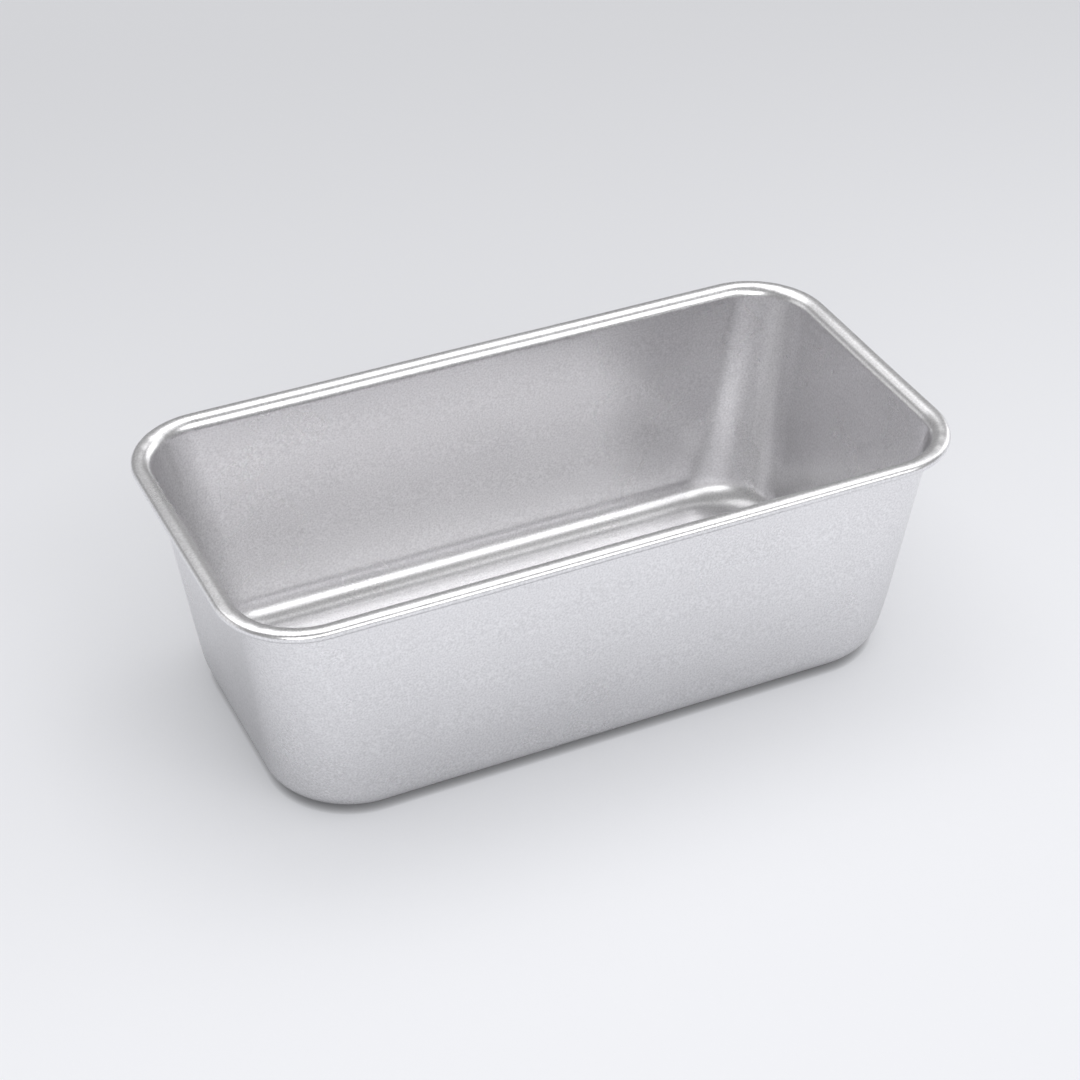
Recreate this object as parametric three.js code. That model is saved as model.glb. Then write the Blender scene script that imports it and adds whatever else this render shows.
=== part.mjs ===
// Loaf pan: one sheet of aluminium, drawn into a seamless shell with a curled rim,
// and the steel wire that the curl holds to keep the rim stiff.
// Millimetres, +Z up. The origin is the middle of the base's underside, and X runs along the pan.

import * as THREE from "three";

const { degToRad, lerp } = THREE.MathUtils;

// Overall sizes, measured over the rim
const overallLength = 225;
const overallWidth = 116;
const overallHeight = 75;

// Drawn shell
const sheetThickness = 0.7;
const endWallLean = 9.3; // how far the foot of an end wall lies inside its head
const sideWallLean = 2.6; // the same for a long wall
const footCornerRadius = 24; // in plan, as if the outer faces of two walls went straight to the ground
const footCornerEase = 3; // how much rounder the corners really are there
const footCornerEaseHeight = 24; // how far up the corners that extra roundness fades out
const baseBendRadius = 9; // outer face, where the walls turn into the base

// Rim, from the inside out: the shoulder, a low crown and the curl round the wire
const rimCornerRadius = 24.5; // in plan, at the rim's outermost edge
const rimOverhang = 5.4; // from the wall's outer face to the rim's outermost edge
const shoulderBendRadius = 2.7; // under the rim, where the wall turns outwards
const crownInnerTilt = degToRad(7); // how steep the crown falls inwards, where the shoulder takes over
const crownOuterTilt = degToRad(12); // how steep it falls outwards, where the curl takes over
const curlEnd = degToRad(285); // where the sheet's edge lies, turned outwards and down from the top

// Rim wire
const wireDiameter = 1.2;
const wireClearance = 0.25; // all round the wire, inside the curl
const wireEndGap = 1; // between the two ends of the wire, at the middle of the back wall

// Facets
const cornerSteps = 12;
const baseBendSteps = 6;
const shoulderSteps = 5;
const crownSteps = 3;
const curlSteps = 14;
const wireSides = 8;

// The crown's radius is what lets its arc meet the shoulder's and the curl's without a crease.
const wireSeatRadius = wireDiameter / 2 + wireClearance;
const curlRadius = wireSeatRadius + sheetThickness;
const shoulderTopRadius = shoulderBendRadius + sheetThickness;
const shoulderInset = rimOverhang - shoulderBendRadius;
const crownRise = Math.sin(crownInnerTilt) + Math.sin(crownOuterTilt);
const crownSpan =
  shoulderInset -
  curlRadius +
  shoulderTopRadius * Math.sin(crownInnerTilt) +
  curlRadius * Math.sin(crownOuterTilt);
const crownRadius = crownSpan / crownRise;
const crownInset = curlRadius + (crownRadius - curlRadius) * Math.sin(crownOuterTilt);
const crownHeight = overallHeight - crownRadius;
const curlHeight = crownHeight + (crownRadius - curlRadius) * Math.cos(crownOuterTilt);
const shoulderHeight =
  crownHeight + (crownRadius - shoulderTopRadius) * Math.cos(crownInnerTilt);
const headCornerRadius = rimCornerRadius - rimOverhang;

// A slope's rise over its run, and how much longer its slant is than its height.
function leaning(lean) {
  const slope = lean / shoulderHeight;
  return { slope, slant: Math.hypot(1, slope) };
}

const endWall = leaning(endWallLean);
const sideWall = leaning(sideWallLean);

// Numbers from first to last in equal steps.
function spread(first, last, steps) {
  return Array.from({ length: steps + 1 }, (_, step) => lerp(first, last, step / steps));
}

// A level ring of the shell: a rounded rectangle, set in from the rim's outermost edge.
function levelRing(endInset, sideInset, cornerRadius, z) {
  return {
    halfLength: overallLength / 2 - endInset,
    halfWidth: overallWidth / 2 - sideInset,
    cornerRadius,
    z,
  };
}

// A ring of the rim, on an arc about a line that runs round the pan. The tilt is from upright, inwards.
function rimRing(centreInset, centreHeight, radius, tilt) {
  const inset = centreInset + radius * Math.sin(tilt);
  return levelRing(inset, inset, rimCornerRadius - inset, centreHeight + radius * Math.cos(tilt));
}

// How far a wall's outer face is set in, as if the wall were straight from the shoulder to the ground.
function straightInset(z, { slope, slant }) {
  return shoulderInset + shoulderBendRadius * slant + (shoulderHeight - z) * slope;
}

// How far a face of a wall is set in: straight between the bend at the base and the shoulder's bend.
// The outer face has depth 0, the inner face the sheet's thickness.
function wallInset(z, wall, depth) {
  const sine = wall.slope / wall.slant;
  const bendRadius = baseBendRadius - depth;
  const shoulderRadius = shoulderBendRadius + depth;
  const belowBend = baseBendRadius - z;
  const aboveShoulder = z - shoulderHeight;
  if (belowBend > bendRadius * sine) {
    const bendInset = straightInset(baseBendRadius, wall) + baseBendRadius * wall.slant;
    return bendInset - Math.sqrt(Math.max(0, bendRadius ** 2 - belowBend ** 2));
  }
  if (aboveShoulder > shoulderRadius * sine) {
    return shoulderInset + Math.sqrt(Math.max(0, shoulderRadius ** 2 - aboveShoulder ** 2));
  }
  return straightInset(z, wall) + depth * wall.slant;
}

// A ring of the walls. Its corners follow the mean of what the end walls and the long walls do, and ease
// off further near the ground.
function wallRing(z, depth) {
  const endInset = wallInset(z, endWall, depth);
  const sideInset = wallInset(z, sideWall, depth);
  const level = Math.min(z, shoulderHeight);
  const plainInset = (straightInset(level, endWall) + straightInset(level, sideWall)) / 2;
  const plainRadius = lerp(footCornerRadius, headCornerRadius, level / shoulderHeight);
  const ease = footCornerEase * Math.max(0, 1 - level / footCornerEaseHeight) ** 2;
  const cornerRadius = plainRadius + ease + plainInset - (endInset + sideInset) / 2;
  return levelRing(endInset, sideInset, cornerRadius, z);
}

// One face of the sheet, from the edge of the flat base up the wall and over the rim to the sheet's edge.
function sheetFace(depth) {
  const inward = depth - sheetThickness;
  const bendRadius = baseBendRadius - depth;
  const shoulderRadius = shoulderBendRadius + depth;
  const bend = spread(0, Math.PI / 2, baseBendSteps).map((turn) =>
    wallRing(baseBendRadius - bendRadius * Math.cos(turn), depth),
  );
  const shoulder = spread(Math.PI / 2, crownInnerTilt, shoulderSteps).map((tilt) =>
    wallRing(shoulderHeight + shoulderRadius * Math.cos(tilt), depth),
  );
  const crown = spread(crownInnerTilt, -crownOuterTilt, crownSteps).map((tilt) =>
    rimRing(crownInset, crownHeight, crownRadius + inward, tilt),
  );
  const curl = spread(-crownOuterTilt, -curlEnd, curlSteps).map((tilt) =>
    rimRing(curlRadius, curlHeight, curlRadius + inward, tilt),
  );
  return [...bend, ...shoulder, ...crown.slice(1), ...curl.slice(1)];
}

// A ring's points, anticlockwise from the middle of the back wall. With a gap there, the ring stays open.
function ringPoints({ halfLength, halfWidth, cornerRadius, z }, gap) {
  const centreX = halfLength - cornerRadius;
  const centreY = halfWidth - cornerRadius;
  const corners = [
    [-centreX, centreY],
    [-centreX, -centreY],
    [centreX, -centreY],
    [centreX, centreY],
  ];
  const points = corners.flatMap(([x, y], corner) =>
    spread(corner + 1, corner + 2, cornerSteps).map((quarters) => {
      const angle = (Math.PI / 2) * quarters;
      return [x + cornerRadius * Math.cos(angle), y + cornerRadius * Math.sin(angle), z];
    }),
  );
  if (gap > 0) return [[-gap / 2, halfWidth, z], ...points, [gap / 2, halfWidth, z]];
  return [[0, halfWidth, z], ...points];
}

function geometryFrom(points, triangles) {
  const geometry = new THREE.BufferGeometry();
  geometry.setAttribute("position", new THREE.Float32BufferAttribute(points.flat(), 3));
  geometry.setIndex(triangles.flat());
  geometry.computeVertexNormals();
  return geometry;
}

// Two triangles for each patch between two rings, which are given by the number of their first point.
function band(ring, nextRing, perRing, closed) {
  const patches = closed ? perRing : perRing - 1;
  return Array.from({ length: patches }, (_, i) => {
    const j = (i + 1) % perRing;
    return [ring + i, ring + j, nextRing + j, ring + i, nextRing + j, nextRing + i];
  });
}

// The shell's skin runs up the outside, into the curl, round the sheet's edge and back over the rim and
// down the inside. A flat closes each end of it: the base's underside and the pan's floor.
function shellGeometry() {
  const rings = [...sheetFace(0), ...sheetFace(sheetThickness).reverse()];
  const loops = rings.map((ring) => ringPoints(ring, 0));
  const perRing = loops[0].length;
  const points = loops.flat();
  const lastRing = (rings.length - 1) * perRing;
  const underside = points.push([0, 0, 0]) - 1;
  const floor = points.push([0, 0, sheetThickness]) - 1;
  const triangles = rings
    .slice(1)
    .flatMap((_, i) => band(i * perRing, (i + 1) * perRing, perRing, true));
  for (let i = 0; i < perRing; i++) {
    const j = (i + 1) % perRing;
    triangles.push([underside, j, i], [floor, lastRing + i, lastRing + j]);
  }
  return geometryFrom(points, triangles);
}

// The wire is a round bar bent along the curl's centre line, with a flat at each of its two ends.
function wireGeometry() {
  const rings = Array.from({ length: wireSides }, (_, side) =>
    rimRing(curlRadius, curlHeight, wireDiameter / 2, (2 * Math.PI * side) / wireSides),
  );
  const loops = rings.map((ring) => ringPoints(ring, wireEndGap));
  const perRing = loops[0].length;
  const triangles = rings.flatMap((_, side) =>
    band(side * perRing, ((side + 1) % wireSides) * perRing, perRing, false),
  );
  for (let side = 1; side < wireSides - 1; side++) {
    const near = side * perRing;
    const far = near + perRing;
    const end = perRing - 1;
    triangles.push([0, near, far], [end, far + end, near + end]);
  }
  return geometryFrom(loops.flat(), triangles);
}

const satinAluminium = new THREE.MeshStandardMaterial({
  color: 0xc9cbcf,
  roughness: 0.4,
  metalness: 1,
});
const galvanisedSteel = new THREE.MeshStandardMaterial({
  color: 0x9b9d9f,
  roughness: 0.5,
  metalness: 1,
});

const panShell = new THREE.Mesh(shellGeometry(), satinAluminium);
panShell.name = "pan_shell";

const rimWire = new THREE.Mesh(wireGeometry(), galvanisedSteel);
rimWire.name = "rim_wire";

const loafPan = new THREE.Group();
loafPan.add(panShell, rimWire);

export default loafPan;
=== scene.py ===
"""Loaf pan of drawn satin aluminium, a wire in its curled rim, on a pale studio floor. Metres, +Z up."""

import math

import bpy
import numpy as np
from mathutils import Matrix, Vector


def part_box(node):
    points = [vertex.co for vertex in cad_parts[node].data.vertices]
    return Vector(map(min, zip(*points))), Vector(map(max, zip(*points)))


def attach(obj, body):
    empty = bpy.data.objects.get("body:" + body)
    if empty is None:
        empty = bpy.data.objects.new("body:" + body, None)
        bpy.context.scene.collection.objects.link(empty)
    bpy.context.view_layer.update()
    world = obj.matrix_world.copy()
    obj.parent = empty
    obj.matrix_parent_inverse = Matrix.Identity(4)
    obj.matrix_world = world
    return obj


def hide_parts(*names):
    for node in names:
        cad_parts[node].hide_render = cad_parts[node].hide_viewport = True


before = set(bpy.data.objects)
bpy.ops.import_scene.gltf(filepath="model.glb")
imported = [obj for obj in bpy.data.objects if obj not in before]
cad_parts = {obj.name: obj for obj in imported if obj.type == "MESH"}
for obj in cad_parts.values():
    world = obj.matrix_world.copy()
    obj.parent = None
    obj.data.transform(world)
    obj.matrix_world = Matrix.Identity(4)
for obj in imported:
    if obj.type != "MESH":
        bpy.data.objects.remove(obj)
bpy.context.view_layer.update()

# Overall sizes over the rim, taken from the frame
shell_low, shell_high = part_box("pan_shell")
LENGTH = shell_high[0] - shell_low[0]
WIDTH = shell_high[1] - shell_low[1]
HEIGHT = shell_high[2]

# Drawn shell
SHEET = 0.0007
END_LEAN = 0.0093
SIDE_LEAN = 0.0026
FOOT_CORNER = 0.024
FOOT_EASE = 0.003
FOOT_EASE_HEIGHT = 0.024
BASE_BEND = 0.009

# Rim, from the inside out: shoulder, crown and curl
RIM_CORNER = 0.0245
OVERHANG = 0.0054
SHOULDER_BEND = 0.0027
INNER_TILT = math.radians(7)
OUTER_TILT = math.radians(12)
CURL_END = math.radians(285)
WIRE_RADIUS = 0.0006
WIRE_CLEARANCE = 0.00025
WIRE_GAP = 0.001

# What follows from them, so that each arc of the rim runs into the next without a crease
CURL_RADIUS = WIRE_RADIUS + WIRE_CLEARANCE + SHEET
SHOULDER_TOP = SHOULDER_BEND + SHEET
SHOULDER_INSET = OVERHANG - SHOULDER_BEND
INNER_SINE = math.sin(INNER_TILT)
OUTER_SINE = math.sin(OUTER_TILT)
CROWN_SPAN = SHOULDER_INSET - CURL_RADIUS + SHOULDER_TOP * INNER_SINE + CURL_RADIUS * OUTER_SINE
CROWN_RADIUS = CROWN_SPAN / (INNER_SINE + OUTER_SINE)
CROWN_INSET = CURL_RADIUS + (CROWN_RADIUS - CURL_RADIUS) * OUTER_SINE
CROWN_HEIGHT = HEIGHT - CROWN_RADIUS
CURL_HEIGHT = CROWN_HEIGHT + (CROWN_RADIUS - CURL_RADIUS) * math.cos(OUTER_TILT)
SHOULDER_HEIGHT = CROWN_HEIGHT + (CROWN_RADIUS - SHOULDER_TOP) * math.cos(INNER_TILT)
HEAD_CORNER = RIM_CORNER - OVERHANG

# What the press left uneven: heights of the waves, and how fast each one turns along the axes,
# in radians for each metre
WALL_WAVE = 0.0001
WALL_TURNS = (68, 96, 30)
WALL_START = 0.7
FLOOR_RISE = 0.0002
DOME_LENGTH = LENGTH / 2.2
DOME_WIDTH = WIDTH / 2.6
RIM_WAVE = 0.00004
RIM_TURNS = (75, -110)
RIM_START = 1.9
RIM_FOOT = 0.8 * HEIGHT
RIM_FADE = 0.15 * HEIGHT
CORNER_RIPPLE = 0.00003
CORNER_TURNS = 26
CREASE_PLACE = (0.0979, 0.0507)
CREASE_DEPTH = 0.00012
CREASE_WIDTH = 0.001

# Fineness of the meshes
CORNER_STEPS = 40
END_STEPS = 18
SIDE_STEPS = 48
FLAT_STEPS = 12
BEND_STEPS = 18
WALL_STEPS = 26
SHOULDER_STEPS = 16
CROWN_STEPS = 6
CURL_STEPS = 40
EDGE_STEPS = 4
WIRE_SIDES = 16

# Camera at the photograph's viewing angle
EYE = (-0.26636, -0.56468, 0.49115)
AZIMUTH = math.radians(-25.154)
ELEVATION = math.radians(35.89)
LENS = 86.554
SENSOR = 36.0


def leaning(run):
    """A wall's slope, its run over its rise, and how much longer its slant is than its height."""
    slope = run / SHOULDER_HEIGHT
    return slope, math.hypot(1, slope)


END_WALL = leaning(END_LEAN)
SIDE_WALL = leaning(SIDE_LEAN)


def straight_inset(z, wall):
    """How far inside the rim's edge a wall's outer face would lie, straight from shoulder to ground."""
    slope, slant = wall
    return SHOULDER_INSET + SHOULDER_BEND * slant + (SHOULDER_HEIGHT - z) * slope


def wall_inset(z, wall, depth):
    """How far a wall's face, depth inside the outer one, lies inside the rim's edge.

    It is the straight slant, but below the base bend's tangent a quarter circle that ends flat on the
    ground, and above the shoulder's tangent a quarter circle that leads out to the crown.
    """
    slope, slant = wall
    sine = slope / slant
    bend = BASE_BEND - depth
    shoulder = SHOULDER_BEND + depth
    below = BASE_BEND - z
    above = z - SHOULDER_HEIGHT
    bend_centre = straight_inset(BASE_BEND, wall) + BASE_BEND * slant
    foot = bend_centre - np.sqrt(np.maximum(0, bend**2 - below**2))
    head = SHOULDER_INSET + np.sqrt(np.maximum(0, shoulder**2 - above**2))
    slanted = straight_inset(z, wall) + depth * slant
    return np.where(below > bend * sine, foot, np.where(above > shoulder * sine, head, slanted))


def wall_rings(z, depth):
    """Rings of the walls, a row for each height in z: half length, half width, corner radius, height."""
    ends = wall_inset(z, END_WALL, depth)
    sides = wall_inset(z, SIDE_WALL, depth)
    level = np.minimum(z, SHOULDER_HEIGHT)
    plain_inset = (straight_inset(level, END_WALL) + straight_inset(level, SIDE_WALL)) / 2
    plain_corner = FOOT_CORNER + (HEAD_CORNER - FOOT_CORNER) * level / SHOULDER_HEIGHT
    ease = FOOT_EASE * np.maximum(0, 1 - level / FOOT_EASE_HEIGHT) ** 2
    corner = plain_corner + ease + plain_inset - (ends + sides) / 2
    return np.stack([LENGTH / 2 - ends, WIDTH / 2 - sides, corner, z], axis=1)


def rim_rings(centre_inset, centre_height, radius, tilt):
    """Rings of the rim on an arc about a line round the pan.

    The inset grows by the radius times the tilt's sine, the height by the radius times its cosine.
    """
    inset = centre_inset + radius * np.sin(tilt)
    z = centre_height + radius * np.cos(tilt)
    return np.stack([LENGTH / 2 - inset, WIDTH / 2 - inset, RIM_CORNER - inset, z], axis=1)


def sheet_face(depth):
    """One face of the sheet from the flat base's edge to the sheet's edge in the curl, as rings."""
    inward = depth - SHEET
    bend = BASE_BEND - depth
    shoulder = SHOULDER_BEND + depth
    turn = np.linspace(0, np.pi / 2, BEND_STEPS + 1)
    tilt = np.linspace(np.pi / 2, INNER_TILT, SHOULDER_STEPS + 1)
    heights = [
        BASE_BEND - bend * np.cos(turn),
        np.linspace(BASE_BEND, SHOULDER_HEIGHT, WALL_STEPS + 1)[1:-1],
        SHOULDER_HEIGHT + shoulder * np.cos(tilt),
    ]
    over_crown = np.linspace(INNER_TILT, -OUTER_TILT, CROWN_STEPS + 1)[1:]
    round_curl = np.linspace(-OUTER_TILT, -CURL_END, CURL_STEPS + 1)[1:]
    return np.concatenate(
        [
            wall_rings(np.concatenate(heights), depth),
            rim_rings(CROWN_INSET, CROWN_HEIGHT, CROWN_RADIUS + inward, over_crown),
            rim_rings(CURL_RADIUS, CURL_HEIGHT, CURL_RADIUS + inward, round_curl),
        ]
    )


def flat_rings(edge):
    """Rings of a flat that closes the shell: its outline drawn in evenly to the middle, at one height."""
    shrink = np.linspace(0, 1, FLAT_STEPS + 1)[1:-1, None]
    plan = edge[None, :3] * shrink
    return np.concatenate([plan, np.full_like(shrink, edge[3])], axis=1)


def edge_rings(outer, inner):
    """Rings of the sheet's cut edge: half a circle from the outer face's last ring to the inner one's."""
    turn = np.linspace(0, np.pi, EDGE_STEPS + 2)[1:-1, None]
    middle = (outer + inner) / 2
    half = (outer - inner) / 2
    inset_out = np.array([-1, -1, -1, 0]) * half[3] + np.array([0, 0, 0, 1]) * half[0]
    return middle + half * np.cos(turn) + inset_out * np.sin(turn)


def stations():
    """Where each point stands on any ring: shares of the two half sides, and the direction it faces.

    A corner keeps both shares at one and turns a quarter. A side keeps its direction and slides one share
    from plus one to minus one. They run anticlockwise from the middle of the back wall.
    """
    signs = [(-1, 1), (-1, -1), (1, -1), (1, 1)]
    steps = [END_STEPS, SIDE_STEPS, END_STEPS, SIDE_STEPS]
    shares, angles = [], []
    for corner, (sign, count) in enumerate(zip(signs, steps)):
        onward = np.array(signs[(corner + 1) % 4])
        turn = np.linspace(corner + 1, corner + 2, CORNER_STEPS + 1) * np.pi / 2
        slide = np.linspace(0, 1, count + 1)[1:-1, None]
        shares += [np.tile(sign, (len(turn), 1)), sign + (onward - sign) * slide]
        angles += [turn, np.full(count - 1, turn[-1])]
    shares = np.concatenate(shares)
    angles = np.concatenate(angles)
    back_half = SIDE_STEPS // 2
    along_x, along_y = np.roll(shares, back_half, axis=0).T
    return along_x, along_y, np.roll(angles, back_half)


def ring_points(rings, along_x, along_y, facing):
    """Points of a grid: each corner's centre at its share of the half sides, plus its radius outwards."""
    half_length, half_width, corner, z = (column[:, None] for column in rings.T)
    x = along_x * (half_length - corner) + corner * np.cos(facing)
    y = along_y * (half_width - corner) + corner * np.sin(facing)
    return np.stack([x, y, np.broadcast_to(z, x.shape)], axis=2)


def press_marks(points, facing):
    """The points moved as the press left them, the same on both faces of the sheet.

    The walls swell and sink in long sine waves that fade out on the ground and at the rim. The flat is a
    low dome, the product of two parabolas. The rim rises and falls in a long wave, its inner shoulder
    ripples where a corner turns, by a sine of the facing angle, and one corner has a crease, a round dent
    that falls off as a bell.
    """
    x, y, z = np.moveaxis(points, 2, 0)
    belly = np.sin(np.pi * np.clip(z / HEIGHT, 0, 1))
    along_wall = WALL_TURNS[0] * x + WALL_TURNS[1] * y + WALL_TURNS[2] * z
    swell = WALL_WAVE * belly * np.sin(along_wall + WALL_START)
    dome = np.maximum(0, 1 - (x / DOME_LENGTH) ** 2) * np.maximum(0, 1 - (y / DOME_WIDTH) ** 2)
    near_ground = np.maximum(0, 1 - z / BASE_BEND) ** 2
    near_rim = np.clip((z - RIM_FOOT) / RIM_FADE, 0, 1) ** 2
    rim_wave = RIM_WAVE * near_rim * np.sin(RIM_TURNS[0] * x + RIM_TURNS[1] * y + RIM_START)
    inset = np.minimum(LENGTH / 2 - np.abs(x), WIDTH / 2 - np.abs(y))
    turning = np.sin(2 * facing) ** 2
    on_shoulder = np.clip(inset / OVERHANG, 0, 1) ** 2
    ripple = CORNER_RIPPLE * near_rim * turning * np.sin(CORNER_TURNS * facing) * on_shoulder
    from_crease = np.hypot(x - CREASE_PLACE[0], y - CREASE_PLACE[1])
    crease = CREASE_DEPTH * near_rim * np.exp(-((from_crease / CREASE_WIDTH) ** 2))
    x = x + swell * np.cos(facing)
    y = y + swell * np.sin(facing)
    z = z + FLOOR_RISE * near_ground * dome + rim_wave + ripple - crease
    return np.stack([x, y, z], axis=2)


def grid_faces(rows, columns, closed_rows, closed_columns):
    """Quads of a grid, each from a point to the next along its row, then across to the next row."""
    row = np.arange(rows if closed_rows else rows - 1)[:, None]
    column = np.arange(columns if closed_columns else columns - 1)[None, :]
    next_row = (row + 1) % rows * columns
    next_column = (column + 1) % columns
    here = row * columns
    quads = [here + column, here + next_column, next_row + next_column, next_row + column]
    return np.stack(np.broadcast_arrays(*quads), axis=2).reshape(-1, 4)


def add_piece(name, points, quads, triangles, material):
    """A smooth mesh object from whole arrays of points, quads and triangles, at the origin."""
    mesh = bpy.data.meshes.new(name)
    mesh.from_pydata(points.tolist(), [], quads.tolist() + triangles.tolist())
    mesh.polygons.foreach_set("use_smooth", np.ones(len(mesh.polygons), dtype=bool))
    mesh.materials.append(material)
    piece = bpy.data.objects.new(name, mesh)
    bpy.context.scene.collection.objects.link(piece)
    return piece


def build_shell(material):
    """The drawn shell: one closed grid of rings.

    They run from the underside up the outer face, round the sheet's edge, down the inner face and over
    the floor, and a fan of triangles closes the middle of the underside and of the floor.
    """
    outer = sheet_face(0.0)
    inner = sheet_face(SHEET)
    rings = np.concatenate(
        [
            flat_rings(outer[0]),
            outer,
            edge_rings(outer[-1], inner[-1]),
            inner[::-1],
            flat_rings(inner[0])[::-1],
        ]
    )
    along_x, along_y, facing = stations()
    grid = press_marks(ring_points(rings, along_x, along_y, facing), facing)
    rows, columns = grid.shape[:2]
    poles = press_marks(np.array([[[0, 0, outer[0, 3]], [0, 0, inner[0, 3]]]]), np.zeros(2))
    points = np.concatenate([grid.reshape(-1, 3), poles[0]])
    column = np.arange(columns)
    onward = (column + 1) % columns
    underside = np.full(columns, rows * columns)
    last = (rows - 1) * columns
    fans = [
        np.stack([underside, onward, column], axis=1),
        np.stack([underside + 1, last + column, last + onward], axis=1),
    ]
    quads = grid_faces(rows, columns, False, True)
    return add_piece("drawn_shell", points, quads, np.concatenate(fans), material)


def build_wire(material):
    """The rim wire: a circle carried along the curl's centre line, with a gap between its two ends."""
    tilt = np.linspace(0, 2 * np.pi, WIRE_SIDES, endpoint=False)
    rings = rim_rings(CURL_RADIUS, CURL_HEIGHT, WIRE_RADIUS, tilt)
    along_x, along_y, facing = stations()
    grid = ring_points(rings, along_x, along_y, facing)
    first, last = grid[:, :1].copy(), grid[:, :1].copy()
    first[:, :, 0] = -WIRE_GAP / 2
    last[:, :, 0] = WIRE_GAP / 2
    grid = np.concatenate([first, grid[:, 1:], last], axis=1)
    rows, columns = grid.shape[:2]
    ends = np.stack([grid[:, 0].mean(axis=0), grid[:, -1].mean(axis=0)])
    points = np.concatenate([grid.reshape(-1, 3), ends])
    row = np.arange(rows) * columns
    onward = np.roll(row, -1)
    middle = np.full(rows, rows * columns)
    fans = [
        np.stack([middle, row, onward], axis=1),
        np.stack([middle + 1, onward + columns - 1, row + columns - 1], axis=1),
    ]
    quads = grid_faces(rows, columns, True, False)
    return add_piece("rim_bead_wire", points, quads, np.concatenate(fans), material)


# Metal: noises in lumps for each metre with their detail, shares of the speckle, tints at two places of
# a ramp, and the range of the roughness
NOISE_RANGE = (0.3, 0.7)
EVEN = (1, 1, 1)
UPRIGHT = (1, 1, 0.02)
CLOUDS = (28.0, 3.0)
GRAIN = (1700.0, 2.0)
DRAW_MARKS = (420.0, 3.0)
CLOUD_SHARE = 0.14
GRAIN_SHARE = 0.86
ALUMINIUM_TINTS = ((0.0, (0.71, 0.705, 0.717)), (1.0, (0.945, 0.94, 0.953)))
ALUMINIUM_ROUGHNESS = (0.26, 0.31)
DRAW_BUMP = 0.05
GRAIN_BUMP = 0.14
BUMP_HEIGHT = 0.0002
ZINC_PATCHES = (700.0, 2.0)
ZINC_TINTS = ((0.35, (0.52, 0.53, 0.54)), (0.65, (0.66, 0.67, 0.68)))
ZINC_ROUGHNESS = (0.4, 0.55)


def new_material(name):
    """An empty node material with a Principled shader and its output."""
    material = bpy.data.materials.new(name)
    material.use_nodes = True
    nodes = material.node_tree.nodes
    return material, nodes, material.node_tree.links, nodes["Principled BSDF"]


def noise_at(nodes, links, lumps, stretch=EVEN):
    """Noise on Object coordinates, given by its lumps for each metre and its detail, and stretched."""
    scale, detail = lumps
    place = nodes.new("ShaderNodeTexCoord")
    mapping = nodes.new("ShaderNodeMapping")
    mapping.inputs["Scale"].default_value = stretch
    noise = nodes.new("ShaderNodeTexNoise")
    noise.inputs["Scale"].default_value = scale
    noise.inputs["Detail"].default_value = detail
    links.new(place.outputs["Object"], mapping.inputs["Vector"])
    links.new(mapping.outputs["Vector"], noise.inputs["Vector"])
    return noise.outputs["Fac"]


def spread(nodes, links, value, source, target, blend="LINEAR"):
    """A value carried from a source range onto a target range and held at their ends."""
    node = nodes.new("ShaderNodeMapRange")
    node.interpolation_type = blend
    node.inputs["From Min"].default_value, node.inputs["From Max"].default_value = source
    node.inputs["To Min"].default_value, node.inputs["To Max"].default_value = target
    links.new(value, node.inputs["Value"])
    return node.outputs["Result"]


def joined(nodes, links, operation, first, second):
    """Two values joined by a sum, a product or a maximum."""
    node = nodes.new("ShaderNodeMath")
    node.operation = operation
    links.new(first, node.inputs[0])
    links.new(second, node.inputs[1])
    return node.outputs["Value"]


def bumped(nodes, links, height, strength, below=None):
    """A bump from a height, laid over another bump."""
    bump = nodes.new("ShaderNodeBump")
    bump.inputs["Strength"].default_value = strength
    bump.inputs["Distance"].default_value = BUMP_HEIGHT
    links.new(height, bump.inputs["Height"])
    if below is not None:
        links.new(below, bump.inputs["Normal"])
    return bump.outputs["Normal"]


def ramp(nodes, links, value, stops):
    """A colour ramp between two stops, each a place and its colour."""
    node = nodes.new("ShaderNodeValToRGB")
    for element, (place, colour) in zip(node.color_ramp.elements, stops):
        element.position = place
        element.color = (*colour, 1)
    links.new(value, node.inputs["Fac"])
    return node.outputs["Color"]


def drawn_aluminium():
    """Drawn aluminium with a fine even grain, faint cloudiness and faint upright marks of the draw."""
    material, nodes, links, shader = new_material("drawn_aluminium")
    shader.inputs["Metallic"].default_value = 1.0
    clouds = noise_at(nodes, links, CLOUDS)
    grain = noise_at(nodes, links, GRAIN)
    draw_marks = noise_at(nodes, links, DRAW_MARKS, UPRIGHT)
    cloudy = spread(nodes, links, clouds, NOISE_RANGE, (0, CLOUD_SHARE))
    grainy = spread(nodes, links, grain, NOISE_RANGE, (0, GRAIN_SHARE))
    speckle = joined(nodes, links, "ADD", cloudy, grainy)
    links.new(ramp(nodes, links, speckle, ALUMINIUM_TINTS), shader.inputs["Base Color"])
    roughness = spread(nodes, links, clouds, NOISE_RANGE, ALUMINIUM_ROUGHNESS)
    links.new(roughness, shader.inputs["Roughness"])
    marks = bumped(nodes, links, draw_marks, DRAW_BUMP)
    links.new(bumped(nodes, links, grain, GRAIN_BUMP, marks), shader.inputs["Normal"])
    return material


def zinc_wire():
    """Zinc coated steel wire: dull grey with small darker and lighter patches."""
    material, nodes, links, shader = new_material("zinc_wire")
    shader.inputs["Metallic"].default_value = 1.0
    patches = noise_at(nodes, links, ZINC_PATCHES)
    links.new(ramp(nodes, links, patches, ZINC_TINTS), shader.inputs["Base Color"])
    roughness = spread(nodes, links, patches, NOISE_RANGE, ZINC_ROUGHNESS)
    links.new(roughness, shader.inputs["Roughness"])
    return material


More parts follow.
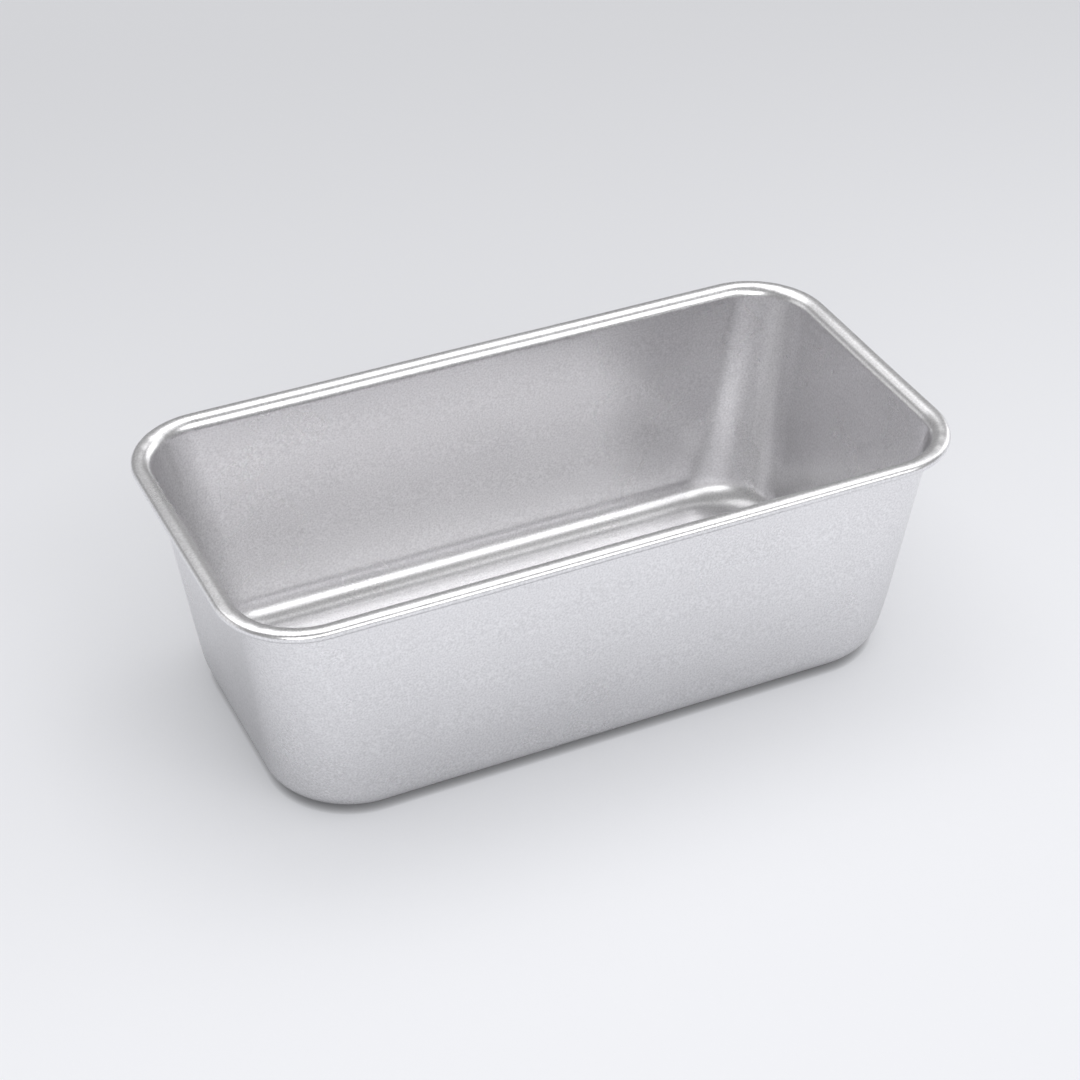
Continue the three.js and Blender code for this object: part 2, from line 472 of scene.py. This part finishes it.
# Studio floor: its glow is painted light, which rises from the far side to the near side, along a turn
# from the camera's side in degrees, between two places on it
FLOOR_REACH = 12.0
FLOOR_RINGS = 40
FLOOR_SIDES = 64
PAPER = (0.33, 0.332, 0.342, 1)
PAPER_ROUGHNESS = 0.9
PAPER_GLOW = (0.95, 0.96, 1.0, 1)
GLOW_TURN = 18
GLOW_SPAN = (-0.5, 0.2)
GLOW_LEVELS = (0.325, 0.57)

# Painted shadows on the glow: how far each one looks for the pan, and the power that its openness is
# raised to
# Wide and contact shades paint a soft shadow round the pan and a dark line where it stands.
WIDE_SHADE = (0.06, 0.3)
CONTACT_SHADE = (0.003, 1.7)
# Side shades paint a soft shadow off to the pan's left, as if from a light at the side heading.
SIDE_SHADE = (0.11, 0.35)
# Mirrored shades paint the shade that the metal's walls reflect, darker near their foot.
MIRRORED_SHADE = (0.075, 1.0)
MIRRORED_SIDE_SHADE = (0.11, 0.55)
SIDE_HEADING = (55, 30)
SHADE_SAMPLES = 8


def build_floor(material):
    """The floor: a level disc about the pan, rings spaced by the square of their number."""
    radius = (np.arange(1, FLOOR_RINGS + 1) / FLOOR_RINGS) ** 2 * FLOOR_REACH
    angle = np.linspace(0, 2 * np.pi, FLOOR_SIDES, endpoint=False)
    x = radius[:, None] * np.cos(angle)
    y = radius[:, None] * np.sin(angle)
    grid = np.stack([x, y, np.zeros_like(x)], axis=2).reshape(-1, 3)
    points = np.concatenate([grid, np.zeros((1, 3))])
    column = np.arange(FLOOR_SIDES)
    fan = np.stack([np.full(FLOOR_SIDES, len(grid)), column, (column + 1) % FLOOR_SIDES], axis=1)
    quads = grid_faces(FLOOR_RINGS, FLOOR_SIDES, False, True)[:, ::-1]
    return add_piece("studio_floor", points, quads, fan, material)


def level_along(nodes, links, place, direction, source, target):
    """How far a place lies along a direction, carried smoothly from a source range onto a target."""
    along = nodes.new("ShaderNodeVectorMath")
    along.operation = "DOT_PRODUCT"
    along.inputs[1].default_value = direction
    links.new(place, along.inputs[0])
    return spread(nodes, links, along.outputs["Value"], source, target, "SMOOTHSTEP")


def heading(turn, elevation):
    """The direction at a turn from the camera's side, to its right, and an elevation, both in degrees."""
    bearing = AZIMUTH + math.radians(turn)
    rise = math.radians(elevation)
    return (math.sin(bearing) * math.cos(rise), -math.cos(bearing) * math.cos(rise), math.sin(rise))


def shade_within(nodes, links, shade, towards):
    """How open a place is about a direction, to a power: one where nothing lies within its reach."""
    reach, power = shade
    facing = nodes.new("ShaderNodeCombineXYZ")
    for axis, part in zip("XYZ", towards):
        facing.inputs[axis].default_value = part
    openness = nodes.new("ShaderNodeAmbientOcclusion")
    openness.samples = SHADE_SAMPLES
    openness.inputs["Distance"].default_value = reach
    links.new(facing.outputs["Vector"], openness.inputs["Normal"])
    raised = nodes.new("ShaderNodeMath")
    raised.operation = "POWER"
    raised.inputs[1].default_value = power
    links.new(openness.outputs["AO"], raised.inputs[0])
    return raised.outputs["Value"]


def studio_paper():
    """Matte pale paper, which also glows to the eye and in reflections.

    The glow is painted light, weaker far off, and it is multiplied by painted shadows of the pan, worked
    out from how open each place is, one set of them for the eye and another for reflections.
    """
    material, nodes, links, shader = new_material("studio_paper")
    shader.inputs["Base Color"].default_value = PAPER
    shader.inputs["Roughness"].default_value = PAPER_ROUGHNESS
    shader.inputs["Specular IOR Level"].default_value = 0.0
    shader.inputs["Emission Color"].default_value = PAPER_GLOW
    place = nodes.new("ShaderNodeTexCoord").outputs["Object"]
    # Painted light: the glow, brighter towards the near side.
    glow = level_along(nodes, links, place, heading(GLOW_TURN, 0), GLOW_SPAN, GLOW_LEVELS)
    above = (0, 0, 1)
    sideways = heading(*SIDE_HEADING)
    # Painted shadows of the pan on the glow, for the eye and for what the metal reflects.
    wide = shade_within(nodes, links, WIDE_SHADE, above)
    contact = shade_within(nodes, links, CONTACT_SHADE, above)
    mirrored = shade_within(nodes, links, MIRRORED_SHADE, above)
    side = shade_within(nodes, links, SIDE_SHADE, sideways)
    mirrored_side = shade_within(nodes, links, MIRRORED_SIDE_SHADE, sideways)
    near = joined(nodes, links, "MULTIPLY", wide, contact)
    seen = joined(nodes, links, "MULTIPLY", near, side)
    reflected = joined(nodes, links, "MULTIPLY", mirrored, mirrored_side)
    rays = nodes.new("ShaderNodeLightPath").outputs
    reflecting = joined(nodes, links, "MAXIMUM", rays["Is Glossy Ray"], rays["Is Transmission Ray"])
    to_the_eye = joined(nodes, links, "MULTIPLY", seen, rays["Is Camera Ray"])
    to_the_metal = joined(nodes, links, "MULTIPLY", reflected, reflecting)
    shade = joined(nodes, links, "ADD", to_the_eye, to_the_metal)
    links.new(joined(nodes, links, "MULTIPLY", glow, shade), shader.inputs["Emission Strength"])
    return material


# Studio light: soft patches of a white surround, each with its turn from the camera's side, its elevation
# and its half width, all in degrees, and its strength
SOFT_LIGHTS = {
    "high_far_left": (243, 62, 26, 1.4),
    "high_far": (174, 62, 25, 1.55),
    "high_far_right": (122, 54, 22, 0.7),
    "low_far_right": (132, 20, 25, 1.25),
    "front_right": (46, 35, 24, 1.65),
    "front": (2, 28, 21, 2.75),
    "low_left": (268, 10, 24, 0.6),
}
CORE_SHARE = 0.65
FILL = 0.34
WHITE = (1, 1, 1, 1)
BACKDROP = (0.72, 0.73, 0.76, 1)


def light_room():
    """The room: an even fill, the soft lights added to it, and a pale backdrop for the camera.

    Each light is full within its core and fades out to its half width, by the cosine of the angle from
    its middle. The first one also carries the fill.
    """
    world = bpy.data.worlds.new("studio")
    bpy.context.scene.world = world
    world.use_nodes = True
    nodes, links = world.node_tree.nodes, world.node_tree.links
    place = nodes.new("ShaderNodeTexCoord").outputs["Generated"]
    total = None
    for turn, elevation, width, strength in SOFT_LIGHTS.values():
        span = (math.cos(math.radians(width)), math.cos(math.radians(width * CORE_SHARE)))
        base = FILL if total is None else 0.0
        levels = (base, base + strength)
        light = level_along(nodes, links, place, heading(turn, elevation), span, levels)
        total = light if total is None else joined(nodes, links, "ADD", total, light)
    room = nodes["Background"]
    room.inputs["Color"].default_value = WHITE
    links.new(total, room.inputs["Strength"])
    backdrop = nodes.new("ShaderNodeBackground")
    backdrop.inputs["Color"].default_value = BACKDROP
    rays = nodes.new("ShaderNodeLightPath").outputs
    mix = nodes.new("ShaderNodeMixShader")
    links.new(rays["Is Camera Ray"], mix.inputs["Fac"])
    links.new(room.outputs["Background"], mix.inputs[1])
    links.new(backdrop.outputs["Background"], mix.inputs[2])
    links.new(mix.outputs["Shader"], nodes["World Output"].inputs["Surface"])


def add_camera():
    """The camera: its place, its turn about the upright and its look down, and its lens."""
    lens = bpy.data.cameras.new("camera")
    lens.lens = LENS
    lens.sensor_width = SENSOR
    camera = bpy.data.objects.new("camera", lens)
    camera.location = EYE
    camera.rotation_euler = (math.pi / 2 - ELEVATION, 0, AZIMUTH)
    bpy.context.scene.collection.objects.link(camera)
    bpy.context.scene.camera = camera


add_camera()
light_room()
bpy.context.scene.view_settings.view_transform = "Standard"

shell = build_shell(drawn_aluminium())
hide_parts("pan_shell")
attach(shell, "root")

wire = build_wire(zinc_wire())
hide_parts("rim_wire")
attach(wire, "root")

floor = build_floor(studio_paper())
